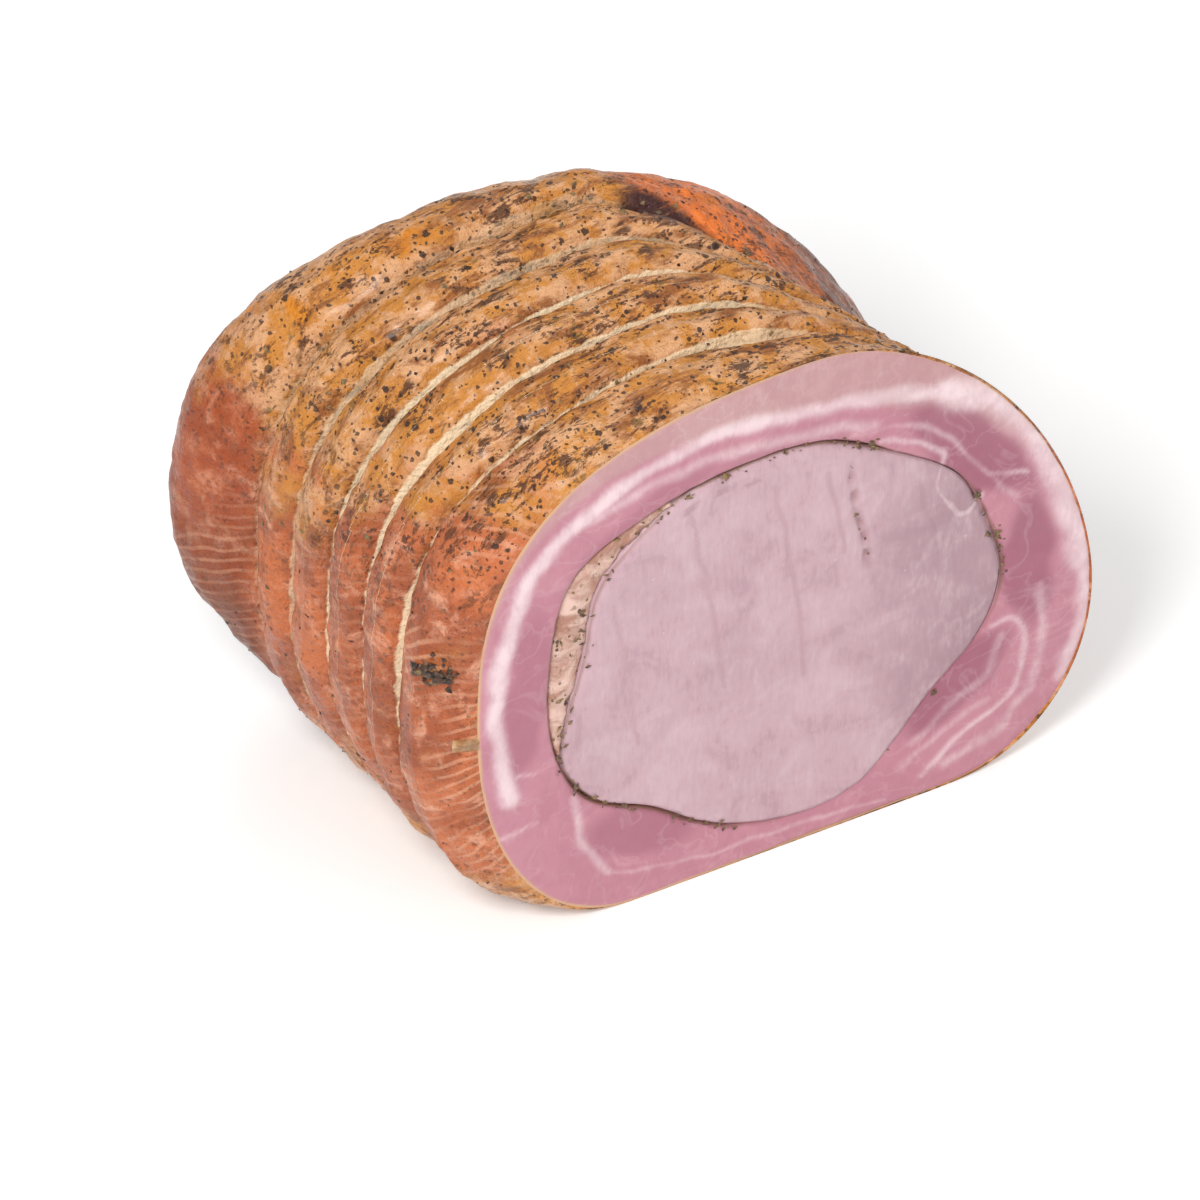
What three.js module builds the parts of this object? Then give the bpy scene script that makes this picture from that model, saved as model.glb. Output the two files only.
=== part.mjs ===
// Porchetta: a pork loin rolled in a sheet of pork belly, roasted, with one end cut flat.
// Millimetres, +Z up. The cut face looks along -Y and the roast lies on its flattened underside.
import * as THREE from "three";

// The cut face
const faceWidth = 185;
const faceHeight = 171;
const widestLeft = 81; // height above the base of the outline's furthest point on the left
const widestRight = 56; // and on the right
const crownOffset = 9; // how far right of the middle the outline is highest
const restLeft = 45; // how far the flattened underside reaches left of the middle
const restRight = 50;

// The belly's thickness on the cut face, from the rim to the hole that the loin lies in
const leftWall = 22;
const rightWall = 27.5;
const topWall = 29;
const bottomWall = 10;

// The roast behind the face, each size measured from the face outward
const leftSwell = 14; // the bulge between ties, past the face's left edge
const rightSlack = 4; // how far the right side falls in behind the face
const tieDepth = 5; // how deep a tie's imprint lies below the swell beside it
const tieSpacing = 17.2;
const firstTie = 22; // from the face to the first imprint
const tieCount = 5;
const tieBunch = 0.5; // how far the imprints draw together on the right, as a share of their distance
const bunchFrom = -20; // they start to draw together here, counted from the face's middle
const bunchTo = 45; // and have done so here

// How far the edges, the crown and the hole move for each millimetre back
const leftDrift = 0.09; // to the left
const rightDrift = 0.2; // to the left
const crownDrop = 0.03; // down
const holeDrift = 0.195; // to the left

// The flared end
const flareLength = 4.5; // from the last imprint to the widest place
const flareLeft = 15; // how far it stands out past the last imprint
const flareRight = 8;
const flareTop = 5; // and above it
const flareTuck = 0.3; // how far its lower left corner is drawn in, as a share of its width
const flareShoulder = 0.09; // and its upper left one
const flareSkew = 0.18;
const endRound = 25; // depth of the rounded end
const endMouth = 0.5; // size of the flare's inner rim, as a share of its widest place
const endCentre = 78; // height about which the end closes

// The hole in the belly
const holeEnd = 0.44; // the hole's size at the back, as a share of its size at the face
const narrowFrom = 0.6; // share of the length from which the hole narrows

// The loin and the seasoned fat beside it
const fitGap = 0.3; // clearance between neighbouring pieces
const pocketDepth = 11; // thickest place of the seasoned fat
const pocketFrom = 112; // degrees round the loin, counted from the right
const pocketTo = 196;
const pocketEase = 1.2; // above 1, the pocket's ends run out more gently
const thinnestFat = 1.2; // the fat's feather edges stop at this thickness
const loinStandOut = 5; // how far the loin's rounded end stands out behind

// Fineness of the mesh
const segments = 64; // round each ring
const ringsPerTie = 4;
const outlineSteps = 160; // round the face's outline and round the hole's
const endSteps = 6;
const domeSteps = 3;
const swellStops = [0.15, 0.5, 0.8]; // rings before the first tie, as shares of its distance
const flareStops = [0.35, 0.7, 1];
const innerStops = [0, 0.2, 0.45, 0.65, 0.8, 0.92, 1]; // rings of the hole, as shares of its length
const tiny = 1e-9;

const quarterTurn = Math.PI / 2;

// The face's outline: four superellipse quarters joined by the flat underside.
function faceOutline() {
  const left = -faceWidth / 2;
  const right = faceWidth / 2;
  const crown = [crownOffset, faceHeight];
  const quarters = [
    { from: [right, widestRight], centre: [crownOffset, widestRight], to: crown, power: 1.75 },
    { from: crown, centre: [crownOffset, widestLeft], to: [left, widestLeft], power: 2.8 },
    { from: [left, widestLeft], centre: [-restLeft, widestLeft], to: [-restLeft, 0], power: 2.1 },
    { from: [restRight, 0], centre: [restRight, widestRight], to: [right, widestRight], power: 2.1 },
  ];
  const stepsPerQuarter = outlineSteps / quarters.length;
  const points = [];
  for (const { from, centre, to, power } of quarters) {
    for (let i = 0; i < stepsPerQuarter; i++) {
      const turn = (i / stepsPerQuarter) * quarterTurn;
      const a = Math.cos(turn) ** (2 / power);
      const b = Math.sin(turn) ** (2 / power);
      points.push(
        new THREE.Vector2(
          centre[0] + (from[0] - centre[0]) * a + (to[0] - centre[0]) * b,
          centre[1] + (from[1] - centre[1]) * a + (to[1] - centre[1]) * b,
        ),
      );
    }
  }
  return points;
}

// The hole's outline, given as shares of its own width and height.
const holeShape = [
  [1.0, 0.44], [0.965, 0.62], [0.9, 0.77], [0.766, 0.885], [0.6, 0.985], [0.413, 1.0], [0.2, 0.955],
  [0.05, 0.86], [0.0, 0.66], [0.01, 0.4], [0.09, 0.24], [0.22, 0.16], [0.36, 0.05], [0.52, 0.0],
  [0.68, 0.02], [0.83, 0.19], [0.95, 0.31],
];

function holeOutline() {
  const left = -faceWidth / 2 + leftWall;
  const width = faceWidth - leftWall - rightWall;
  const height = faceHeight - topWall - bottomWall;
  const points = holeShape.map(([x, z]) => {
    return new THREE.Vector3(left + x * width, 0, bottomWall + z * height);
  });
  const curve = new THREE.CatmullRomCurve3(points, true, "centripetal");
  const samples = curve.getPoints(outlineSteps).slice(0, outlineSteps);
  return samples.map((p) => new THREE.Vector2(p.x, p.z));
}

// The middle of the hole, from which every ring is measured.
const hub = new THREE.Vector2(
  (leftWall - rightWall) / 2,
  (bottomWall + faceHeight - topWall) / 2,
);

// How far the outline is from the hub in one direction.
function reach(outline, angle) {
  const ray = new THREE.Vector2(Math.cos(angle), Math.sin(angle));
  let furthest = 0;
  for (let i = 0; i < outline.length; i++) {
    const a = outline[i].clone().sub(hub);
    const b = outline[(i + 1) % outline.length].clone().sub(hub);
    const side = b.clone().sub(a);
    const turn = ray.x * side.y - ray.y * side.x;
    const parallel = Math.abs(turn) < tiny;
    const along = parallel ? 0 : (a.x * side.y - a.y * side.x) / turn;
    const share = parallel ? 0 : (a.x * ray.y - a.y * ray.x) / turn;
    if (along > 0 && share >= -tiny && share <= 1 + tiny) {
      furthest = Math.max(furthest, along);
    }
  }
  return furthest;
}

const angles = Array.from({ length: segments }, (_, i) => (i / segments) * 2 * Math.PI);
const rim = faceOutline();
const hole = holeOutline();
const rimReach = angles.map((angle) => reach(rim, angle));
const holeReach = angles.map((angle) => reach(hole, angle));

// A ring of the outside. The face's outline is stretched between its left and right edges and to
// its height, and set back by its distance. Its right side can run forward, evenly by its skew or
// by its bunch past bunchFrom, and its left corners can be drawn in.
function outerRing({
  back, left, right, height, skew = 0, bunch = 0, base = 0, tuck = 0, shoulder = 0,
}) {
  const middle = (left + right) / 2;
  return angles.map((angle, i) => {
    const x = (hub.x + Math.cos(angle) * rimReach[i]) / faceWidth;
    const z = Math.max(0, hub.y + Math.sin(angle) * rimReach[i]) / faceHeight;
    const low = x < 0 ? Math.max(0, 1 - 2 * z) ** 2 : 0;
    const high = x < 0 ? Math.max(0, 2 * z - 1) ** 2 : 0;
    const across = middle + x * (right - left) * (1 - tuck * low - shoulder * high);
    const drawn = bunch * THREE.MathUtils.smoothstep(across, bunchFrom, bunchTo);
    const forward = back * drawn + skew * (across - middle);
    return new THREE.Vector3(across, back - forward, base + z * height);
  });
}

const lastTie = firstTie + (tieCount - 1) * tieSpacing;
const widestBack = lastTie + flareLength;
const backEnd = widestBack + endRound;

// Left edge, right edge and height of the roast, tie imprints included, at a distance back.
function swell(back) {
  const growth = firstTie / 2; // the swell has grown, and the first imprint starts, at this distance
  const rise = Math.sin(quarterTurn * Math.min(1, back / growth));
  const started = back < firstTie ? Math.max(0, 1 - (firstTie - back) / growth) : 1;
  const phase = (back - firstTie) / tieSpacing;
  const imprint = started * Math.cos(Math.PI * phase) ** 4 * tieDepth;
  const run = Math.max(0, back - growth);
  return {
    left: -faceWidth / 2 - leftSwell * rise - leftDrift * run + imprint,
    right: faceWidth / 2 - rightSlack * rise - rightDrift * run - imprint,
    height: faceHeight - imprint - crownDrop * run,
  };
}

function tiedRings() {
  const rings = swellStops.map((share) => {
    const back = firstTie * share;
    return outerRing({ back, bunch: tieBunch, ...swell(back) });
  });
  const steps = (tieCount - 1) * ringsPerTie;
  for (let step = 0; step <= steps; step++) {
    const back = firstTie + (step / ringsPerTie) * tieSpacing;
    rings.push(outerRing({ back, bunch: tieBunch, ...swell(back) }));
  }
  return rings;
}

function flareRings() {
  const last = swell(lastTie);
  const widest = {
    left: last.left - flareLeft,
    right: last.right + flareRight,
    height: last.height + flareTop,
  };
  const rings = flareStops.map((share) => {
    const out = Math.sin(quarterTurn * share);
    return outerRing({
      back: lastTie + flareLength * share,
      left: last.left + (widest.left - last.left) * out,
      right: last.right + (widest.right - last.right) * out,
      height: last.height + (widest.height - last.height) * out,
      skew: flareSkew * share,
      bunch: tieBunch * (1 - share),
      tuck: flareTuck * share,
      shoulder: flareShoulder * share,
    });
  });
  const centre = (widest.left + widest.right) / 2;
  for (let i = 1; i <= endSteps; i++) {
    const turn = (i / endSteps) * quarterTurn;
    const size = endMouth + (1 - endMouth) * Math.cos(turn);
    rings.push(
      outerRing({
        back: widestBack + endRound * Math.sin(turn),
        left: centre + (widest.left - centre) * size,
        right: centre + (widest.right - centre) * size,
        height: widest.height * size,
        base: endCentre * (1 - size),
        skew: flareSkew,
        tuck: flareTuck,
        shoulder: flareShoulder,
      }),
    );
  }
  return rings;
}

function outerRings() {
  const edges = { left: -faceWidth / 2, right: faceWidth / 2, height: faceHeight };
  const face = outerRing({ back: 0, ...edges });
  return [face, ...tiedRings(), ...flareRings()];
}

// The hole runs back from the face along the roast's lean and narrows into the end's mouth.
function innerRing(share, inset, extraBack = 0, shrink = 1) {
  const leastReach = 0.5;
  const back = backEnd * share + extraBack;
  const narrowing = Math.max(0, (share - narrowFrom) / (1 - narrowFrom)) ** 2;
  const size = (1 - (1 - holeEnd) * narrowing) * shrink;
  const middle = hub.x - holeDrift * back;
  const height = hub.y + (endCentre - hub.y) * share;
  return angles.map((angle, i) => {
    const length = Math.max(leastReach, holeReach[i] * size - inset(angle, size));
    const across = Math.cos(angle) * length;
    return new THREE.Vector3(
      middle + across,
      back - flareSkew * share * across,
      height + Math.sin(angle) * length,
    );
  });
}

function pocket(angle) {
  const share = (THREE.MathUtils.radToDeg(angle) - pocketFrom) / (pocketTo - pocketFrom);
  return share > 0 && share < 1 ? pocketDepth * Math.sin(Math.PI * share) ** pocketEase : 0;
}

// Joins rings of equal length into one closed mesh, with a flat cap on each open end. Each
// four-sided patch is cut into two triangles, and isCrossed picks the patches that are cut along
// their other diagonal, so that the facets of pieces lying against each other stay parallel.
function loft(rings, looped, isCrossed = () => false) {
  const size = rings[0].length;
  const positions = rings.flat().flatMap((p) => [p.x, p.y, p.z]);
  const index = [];
  const spans = looped ? rings.length : rings.length - 1;
  for (let r = 0; r < spans; r++) {
    const next = ((r + 1) % rings.length) * size;
    for (let i = 0; i < size; i++) {
      const j = (i + 1) % size;
      const [a, b, c, d] = [r * size + i, r * size + j, next + j, next + i];
      index.push(...(isCrossed(r, i) ? [a, d, b, b, d, c] : [a, c, b, a, d, c]));
    }
  }
  const ends = looped ? [] : [0, rings.length - 1];
  for (const end of ends) {
    const outline = rings[end].map((p) => new THREE.Vector2(p.x, p.z));
    for (const triangle of THREE.ShapeUtils.triangulateShape(outline, [])) {
      const corners = triangle.map((i) => end * size + i);
      index.push(...(end === 0 ? corners : corners.reverse()));
    }
  }
  const geometry = new THREE.BufferGeometry();
  geometry.setAttribute("position", new THREE.Float32BufferAttribute(positions, 3));
  geometry.setIndex(index);
  geometry.computeVertexNormals();
  return geometry;
}

function named(name, geometry, look) {
  const mesh = new THREE.Mesh(geometry, new THREE.MeshStandardMaterial(look));
  mesh.name = name;
  return mesh;
}

function bellyWrap() {
  const noInset = () => 0;
  const outside = outerRings();
  const inside = innerStops.map((share) => innerRing(share, noInset)).reverse();
  const isInside = (ring) => ring >= outside.length;
  const crust = { color: 0xc98a52, roughness: 0.45 };
  return named("belly_wrap", loft([...outside, ...inside], true, isInside), crust);
}

function loin() {
  const inset = (angle, size) => fitGap + pocket(angle) * size;
  const rings = innerStops.map((share) => innerRing(share, inset));
  for (let i = 1; i <= domeSteps; i++) {
    const turn = (i / (domeSteps + 0.5)) * quarterTurn; // the last ring stops short of the tip
    rings.push(innerRing(1, inset, loinStandOut * Math.sin(turn), Math.cos(turn)));
  }
  const meat = { color: 0xd9a9a4, roughness: 0.5 };
  return named("loin", loft(rings, false), meat);
}

// The seasoned fat fills the pocket on the loin's left side, from the face to near the back end.
function herbFilling() {
  const inPocket = angles.map((angle, i) => i).filter((i) => pocket(angles[i]) > thinnestFat);
  const rings = innerStops.slice(0, -1).map((share) => {
    const outer = innerRing(share, () => fitGap);
    const inner = innerRing(share, (angle, size) => pocket(angle) * size - fitGap);
    return [
      ...inPocket.map((i) => outer[i]),
      ...inPocket.map((i) => inner[i]).reverse(),
    ];
  });
  const facesLoin = (ring, i) => i >= inPocket.length;
  const fat = { color: 0x9a8458, roughness: 0.7 };
  return named("herb_filling", loft(rings, false, facesLoin), fat);
}

const roast = new THREE.Group();
roast.add(bellyWrap(), loin(), herbFilling());

// The origin is on the surface that the roast rests on, under the middle of its box.
const box = new THREE.Box3().setFromObject(roast);
const middle = box.getCenter(new THREE.Vector3());
roast.position.set(-middle.x, -middle.y, -box.min.z);

export default roast;
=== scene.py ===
import math
import random

import bpy
import numpy as np
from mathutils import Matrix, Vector, noise
from mathutils.bvhtree import BVHTree


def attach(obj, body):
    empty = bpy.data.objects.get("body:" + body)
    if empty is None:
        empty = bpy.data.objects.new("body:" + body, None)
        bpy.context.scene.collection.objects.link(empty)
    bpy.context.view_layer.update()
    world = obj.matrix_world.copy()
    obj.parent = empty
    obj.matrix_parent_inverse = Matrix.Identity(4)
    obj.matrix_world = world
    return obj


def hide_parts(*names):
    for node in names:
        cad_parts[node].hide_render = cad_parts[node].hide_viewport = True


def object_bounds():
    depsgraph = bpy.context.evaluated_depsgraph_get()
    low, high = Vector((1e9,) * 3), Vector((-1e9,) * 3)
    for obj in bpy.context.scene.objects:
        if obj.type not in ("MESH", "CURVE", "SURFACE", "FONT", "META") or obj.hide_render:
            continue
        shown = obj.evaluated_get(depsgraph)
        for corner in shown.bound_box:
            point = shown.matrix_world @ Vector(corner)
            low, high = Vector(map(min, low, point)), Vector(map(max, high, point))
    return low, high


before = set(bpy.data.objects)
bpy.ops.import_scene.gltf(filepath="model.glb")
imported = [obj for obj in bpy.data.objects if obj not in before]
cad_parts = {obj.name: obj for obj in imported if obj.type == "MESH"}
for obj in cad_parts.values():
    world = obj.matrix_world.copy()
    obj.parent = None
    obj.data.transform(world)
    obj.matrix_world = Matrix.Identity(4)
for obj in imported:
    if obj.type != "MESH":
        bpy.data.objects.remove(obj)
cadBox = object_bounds()
mm = 0.001
bpy.context.scene.view_settings.view_transform = "Standard"

# The roast's own directions: the cut face lies at the lowest Y and looks along -Y.
roastLine = {  # millimetres
    "faceY": cadBox[0].y / mm,
    "hubLeft": 3.0,  # the middle line starts this far left of the cut face's middle
    "hubHeight": 76.0,
    "lean": 0.19,  # how far the middle line runs left for each millimetre back
    "skew": 0.13,  # how far a tie mark runs forward for each millimetre to the right
    "endSkew": 0.18,
    "skewFull": 17.0,  # distance back at which the skew is whole
    "endFrom": 86.0,  # the skew grows to the end's own from here, over endOver
    "endOver": 8.0,
    "flareBack": 95.3,  # where the flared end is widest
    "mouthHold": 0.97,  # share of the way to the hole's edge that the rounded end is followed
}
tieMarks = {  # millimetres
    "first": 22.0, "spacing": 17.2, "depth": 3.2, "width": 0.95, "wander": 1.4,
    "behind": 0.35,  # the groove's deepest line is this far behind the mark
    "lip": 1.2, "lipAhead": 2.2, "lipWidth": 1.6,  # the crust swells ahead of each groove
    "strips": (0.85, 1.0, 1.0, 0.5, 0.25),  # how much of each tie's strip stayed unbrowned
    "bunch": 0.5, "bunchFrom": -20.0, "bunchTo": 45.0,  # the ties draw together on the right
}
crustLumps = {"broad": 1.5, "middle": 0.85, "fine": 0.32}  # millimetres in and out
meshFineness = {"around": 400, "alongStep": 0.64, "faceRings": 40, "endRings": 26}


def nodePoints(name):
    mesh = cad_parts[name].data
    return np.array([v.co[:] for v in mesh.vertices]) / mm


def nodeTree(name):
    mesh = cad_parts[name].data
    points = [v.co / mm for v in mesh.vertices]
    return BVHTree.FromPolygons(points, [tuple(p.vertices) for p in mesh.polygons])


bellyTree = nodeTree("belly_wrap")
loinTree = nodeTree("loin")
facePoints = nodePoints("belly_wrap")
facePoints = facePoints[facePoints[:, 1] < roastLine["faceY"] + 0.05]
faceMiddle = (facePoints[:, 0].min() + facePoints[:, 0].max()) / 2
around = np.linspace(0, 2 * np.pi, meshFineness["around"], endpoint=False)


def middleAt(back):
    line = roastLine
    x = faceMiddle - line["hubLeft"] - line["lean"] * back
    return Vector((x, line["faceY"] + back, line["hubHeight"]))


def skewAt(back):
    line = roastLine
    near = line["skew"] * min(1.0, back / line["skewFull"])
    past = max(0.0, min(1.0, (back - line["endFrom"]) / line["endOver"]))
    return near + (line["endSkew"] - line["skew"]) * past


def outward(angle, skew, rise=0.0):
    flat = Vector((math.cos(angle), -skew * math.cos(angle), math.sin(angle)))
    return flat * math.cos(rise) + Vector((0, math.sin(rise), 0))


farOut = 220.0  # millimetres, outside the roast on every side
leastReach = 15.0  # a hit closer to the middle than this is the far wall, seen through the hole


def reachIn(tree, start, direction):
    # Distance from start to the outermost surface along a direction, or None.
    hit = tree.ray_cast(start + direction * farOut, -direction)
    if hit[0] is None or hit[3] > farOut * direction.length - leastReach:
        return None
    return (hit[0] - start).length / direction.length


def reachOut(tree, start, direction):
    hit = tree.ray_cast(start, direction)
    return None if hit[0] is None else (hit[0] - start).length / direction.length


def smoothRound(values, keep=42):
    # Takes the facets out of a closed row of distances.
    waves = np.fft.rfft(values)
    fade = np.clip(1.5 - np.arange(len(waves)) / keep, 0, 1)
    return np.fft.irfft(waves * fade, len(values))


def filled(values):
    known = [i for i, v in enumerate(values) if v is not None]
    return np.interp(range(len(values)), known, [values[i] for i in known], period=len(values))


def row(tree, back, look=reachIn, skew=None):
    start = middleAt(back)
    slope = skewAt(back) if skew is None else skew
    found = [look(tree, start, outward(a, slope)) for a in around]
    return smoothRound(filled(found))


def placeRow(back, reach, skew=None):
    start = np.array(middleAt(back))
    slope = skewAt(back) if skew is None else skew
    x = np.cos(around) * reach
    return start + np.stack([x, -slope * x, np.sin(around) * reach], 1)


def lumps(points, size, seed):
    return np.array([noise.noise(Vector(p) / size + Vector((seed, 0, 0))) for p in points])


def smoothStep(low, high, values):
    share = np.clip((values - low) / (high - low), 0, 1)
    return share * share * (3 - 2 * share)


def joinRows(rows, looped=True):
    # Faces between neighbouring rows, each of them closed round the roast.
    count = len(around)
    faces = []
    for r in range(len(rows) - (0 if looped else 1)):
        this, following = r * count, (r + 1) % len(rows) * count
        for i in range(count):
            j = (i + 1) % count
            faces.append((this + i, this + j, following + j, following + i))
    return faces


def sheetFaces(deep, wide):
    # A closed sheet: a front of deep by wide points, a back of as many, and the border between.
    size = deep * wide
    faces = []
    for a in range(deep - 1):
        for i in range(wide - 1):
            p = a * wide + i
            faces.append((p, p + 1, p + wide + 1, p + wide))
            faces.append((size + p, size + p + wide, size + p + wide + 1, size + p + 1))
    border = list(range(wide)) + [a * wide + wide - 1 for a in range(1, deep)]
    border += [size - 2 - i for i in range(wide - 1)] + [a * wide for a in range(deep - 2, 0, -1)]
    for p, q in zip(border, border[1:] + border[:1]):
        faces.append((q, p, size + p, size + q))
    return faces


def makePiece(name, points, faces, materials, slots=None, values=None):
    mesh = bpy.data.meshes.new(name)
    mesh.from_pydata([tuple(p) for p in np.asarray(points) * mm], [], faces)
    for material in materials:
        mesh.materials.append(material)
    if slots is not None:
        mesh.polygons.foreach_set("material_index", slots)
    for label, numbers in (values or {}).items():
        layer = mesh.attributes.new(label, "FLOAT", "POINT")
        layer.data.foreach_set("value", np.asarray(numbers, dtype=np.float32))
    mesh.polygons.foreach_set("use_smooth", [True] * len(mesh.polygons))
    mesh.update()
    piece = bpy.data.objects.new(name, mesh)
    bpy.context.scene.collection.objects.link(piece)
    return piece


# What the cut face shows. Places are in millimetres from the face's middle and from its base.
fatStreaks = [  # each streak's width, how strong it is, and where it runs
    (2.4, 1.0, [(-83, 54), (-86, 70), (-87.5, 88), (-84, 111), (-75.5, 132), (-59, 146.5), (-44, 153.5)]),
    (2.4, 0.9, [(-44, 153.5), (-20, 157.5), (3, 154), (33, 148), (56, 137)]),
    (2.0, 0.55, [(-70, 141), (-45, 147), (-20, 149), (5, 146), (25, 141)]),
    (4.3, 1.0, [(48, 143), (66, 131), (76, 114), (84, 92), (90, 66)]),
    (2.6, 0.9, [(86, 90), (90, 66), (90, 44), (84, 26)]),
    (1.1, 0.6, [(61, 53), (69, 51.6), (72, 41), (70, 29), (63, 21.7), (53, 17), (41, 7)]),
    (1.7, 0.5, [(76, 60), (78, 42), (74, 26), (64, 14), (48, 8)]),
    (1.4, 0.4, [(64, 47), (60, 35), (48, 28), (38, 20)]),
    (1.2, 0.35, [(60, 26), (46, 20), (34, 12)]),
    (1.3, 0.65, [(-64, 46), (-62.5, 34), (-59, 22), (-53, 15)]),
    (0.9, 0.45, [(-53, 15), (-41, 10.6), (-26, 7.6), (0, 6), (30, 4)]),
    (1.0, 0.6, [(28, 133.6), (36, 131), (44, 123.6), (46.7, 119.7), (44.3, 112), (47, 103)]),
    (1.2, 0.7, [(47, 103), (53, 97.5), (56.6, 98.8), (57.8, 101)]),
    (0.9, 0.4, [(20, 139), (34, 137), (44, 131), (52, 120), (60, 108), (68, 96)]),
    (0.8, 0.45, [(-88, 62), (-76, 60)]),
    (0.8, 0.4, [(-88, 40), (-74, 42)]),
    (0.9, 0.5, [(60, 108), (72, 103)]),
    (0.8, 0.35, [(72, 60), (84, 58)]),
]
darkMuscles = [  # each one's middle, half sizes, turn in degrees, and how strong it is
    (55, 119, 31, 10, -51, 1.0),
    (73, 72, 9, 27, 3, 0.85),
    (52, 36, 20, 10, 38, 1.0),
    (-44, 25, 20, 9, -22, 0.6),
    (-78, 88, 8, 34, -6, 0.55),
    (-46, 135, 30, 6, 32, 0.5),
    (2, 145, 28, 4, -4, 0.35),
]
loinMarks = {
    "lines": [  # faint lines down the loin
        [(-29.6, 133), (-23, 99), (-19, 66)],
        [(-4, 131), (2.4, 92), (5, 60)],
        [(12.3, 129), (17, 99)],
        [(-52, 109), (-44.5, 57)],
        [(39, 114), (44, 95)],
    ],
    "crease": [(18.9, 130), (20, 116), (22, 108), (24.3, 96), (25.5, 85)],
    "ovals": [(-29, 134.2, 3.4, 1.3, 42), (-19.7, 136.2, 2.9, 1.2, 12), (-10.4, 135.6, 2.4, 1.0, 6)],
    "faceRings": 62, "sideBacks": (3, 12, 30, 55, 80, 96, 106), "domeBack": 100,
}


def fineLine(stops, step=0.8):
    stops = np.array(stops, float)
    if len(stops) == 2:
        share = np.linspace(0, 1, 40)[:, None]
        return stops[0] * (1 - share) + stops[1] * share
    padded = np.vstack([2 * stops[0] - stops[1], stops, 2 * stops[-1] - stops[-2]])
    line = []
    for a, b, c, d in zip(padded, padded[1:], padded[2:], padded[3:]):
        for t in np.linspace(0, 1, max(3, int(np.linalg.norm(c - b) / step)), endpoint=False):
            line.append(
                0.5 * (2 * b + (c - a) * t + (2 * a - 5 * b + 4 * c - d) * t**2
                       + (3 * b - a - 3 * c + d) * t**3)
            )
    return np.array(line + [stops[-1]])


def nearLine(places, stops):
    line = fineLine(stops)
    nearest = np.full(len(places), 1e9)
    for p in line:
        nearest = np.minimum(nearest, np.hypot(places[:, 0] - p[0], places[:, 1] - p[1]))
    return nearest


def inOval(places, x, z, wide, high, turn):
    c, s = math.cos(math.radians(turn)), math.sin(math.radians(turn))
    u = ((places[:, 0] - x) * c + (places[:, 1] - z) * s) / wide
    v = (-(places[:, 0] - x) * s + (places[:, 1] - z) * c) / high
    return np.hypot(u, v)


def facePlaces(points):
    return np.stack([points[:, 0] - faceMiddle, points[:, 2]], 1)


def fatAt(points):
    places = facePlaces(points)
    places = places + np.stack([lumps(points, 9, 3), lumps(points, 9, 8)], 1) * 1.6
    fat = np.zeros(len(points))
    for width, strength, stops in fatStreaks:
        near = 1 - smoothStep(0, width * 2.1, nearLine(places, stops))
        fat = np.maximum(fat, near * strength)
    return fat


def muscleAt(points):
    places = facePlaces(points)
    places = places + np.stack([lumps(points, 12, 5), lumps(points, 12, 6)], 1) * 3
    dark = np.zeros(len(points))
    for x, z, wide, high, turn, strength in darkMuscles:
        inside = 1 - smoothStep(0.6, 1.2, inOval(places, x, z, wide, high, turn))
        dark = np.maximum(dark, inside * strength)
    return dark


# Node helpers
def addNode(tree, kind, settings=None, **inputs):
    node = tree.nodes.new(kind)
    for key, value in (settings or {}).items():
        setattr(node, key, value)
    for key, value in inputs.items():
        socket = node.inputs[int(key[1:])] if key[0] == "i" and key[1:].isdigit() else node.inputs[key]
        if isinstance(value, bpy.types.NodeSocket):
            tree.links.new(value, socket)
        else:
            socket.default_value = value
    return node


def maths(tree, operation, a, b=0.0, clamp=False):
    node = addNode(tree, "ShaderNodeMath", {"operation": operation, "use_clamp": clamp}, i0=a, i1=b)
    return node.outputs[0]


def times(tree, a, b):
    return maths(tree, "MULTIPLY", a, b)


def plus(tree, a, b):
    return maths(tree, "ADD", a, b)


def minus(tree, a, b, clamp=False):
    return maths(tree, "SUBTRACT", a, b, clamp)


def blendColour(tree, share, a, b, mode="MIX"):
    settings = {"data_type": "RGBA", "blend_type": mode}
    return addNode(tree, "ShaderNodeMix", settings, i0=share, i6=a, i7=b).outputs[2]


def tint(tree, colour, share, strength, stain):
    return blendColour(tree, times(tree, share, strength), colour, stain)


def ranged(tree, value, low, high, toLow=0.0, toHigh=1.0):
    settings = {"interpolation_type": "SMOOTHSTEP"}
    node = addNode(tree, "ShaderNodeMapRange", settings, i0=value, i1=low, i2=high, i3=toLow, i4=toHigh)
    return node.outputs[0]


def speckle(tree, place, scale, detail=3.0, rough=0.6, distort=0.0):
    node = addNode(tree, "ShaderNodeTexNoise", None, Vector=place, Scale=scale, Detail=detail,
                   Roughness=rough, Distortion=distort)
    return node.outputs[0]


def ownValue(tree, name):
    return addNode(tree, "ShaderNodeAttribute", {"attribute_name": name}).outputs["Fac"]


def startGroup(name, inputs, outputs):
    group = bpy.data.node_groups.new(name, "ShaderNodeTree")
    for label, kind, value in inputs:
        socket = group.interface.new_socket(label, in_out="INPUT", socket_type=kind)
        if value is not None:
            socket.default_value = value
    for label, kind in outputs:
        group.interface.new_socket(label, in_out="OUTPUT", socket_type=kind)
    return group, group.nodes.new("NodeGroupInput"), group.nodes.new("NodeGroupOutput")


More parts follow.
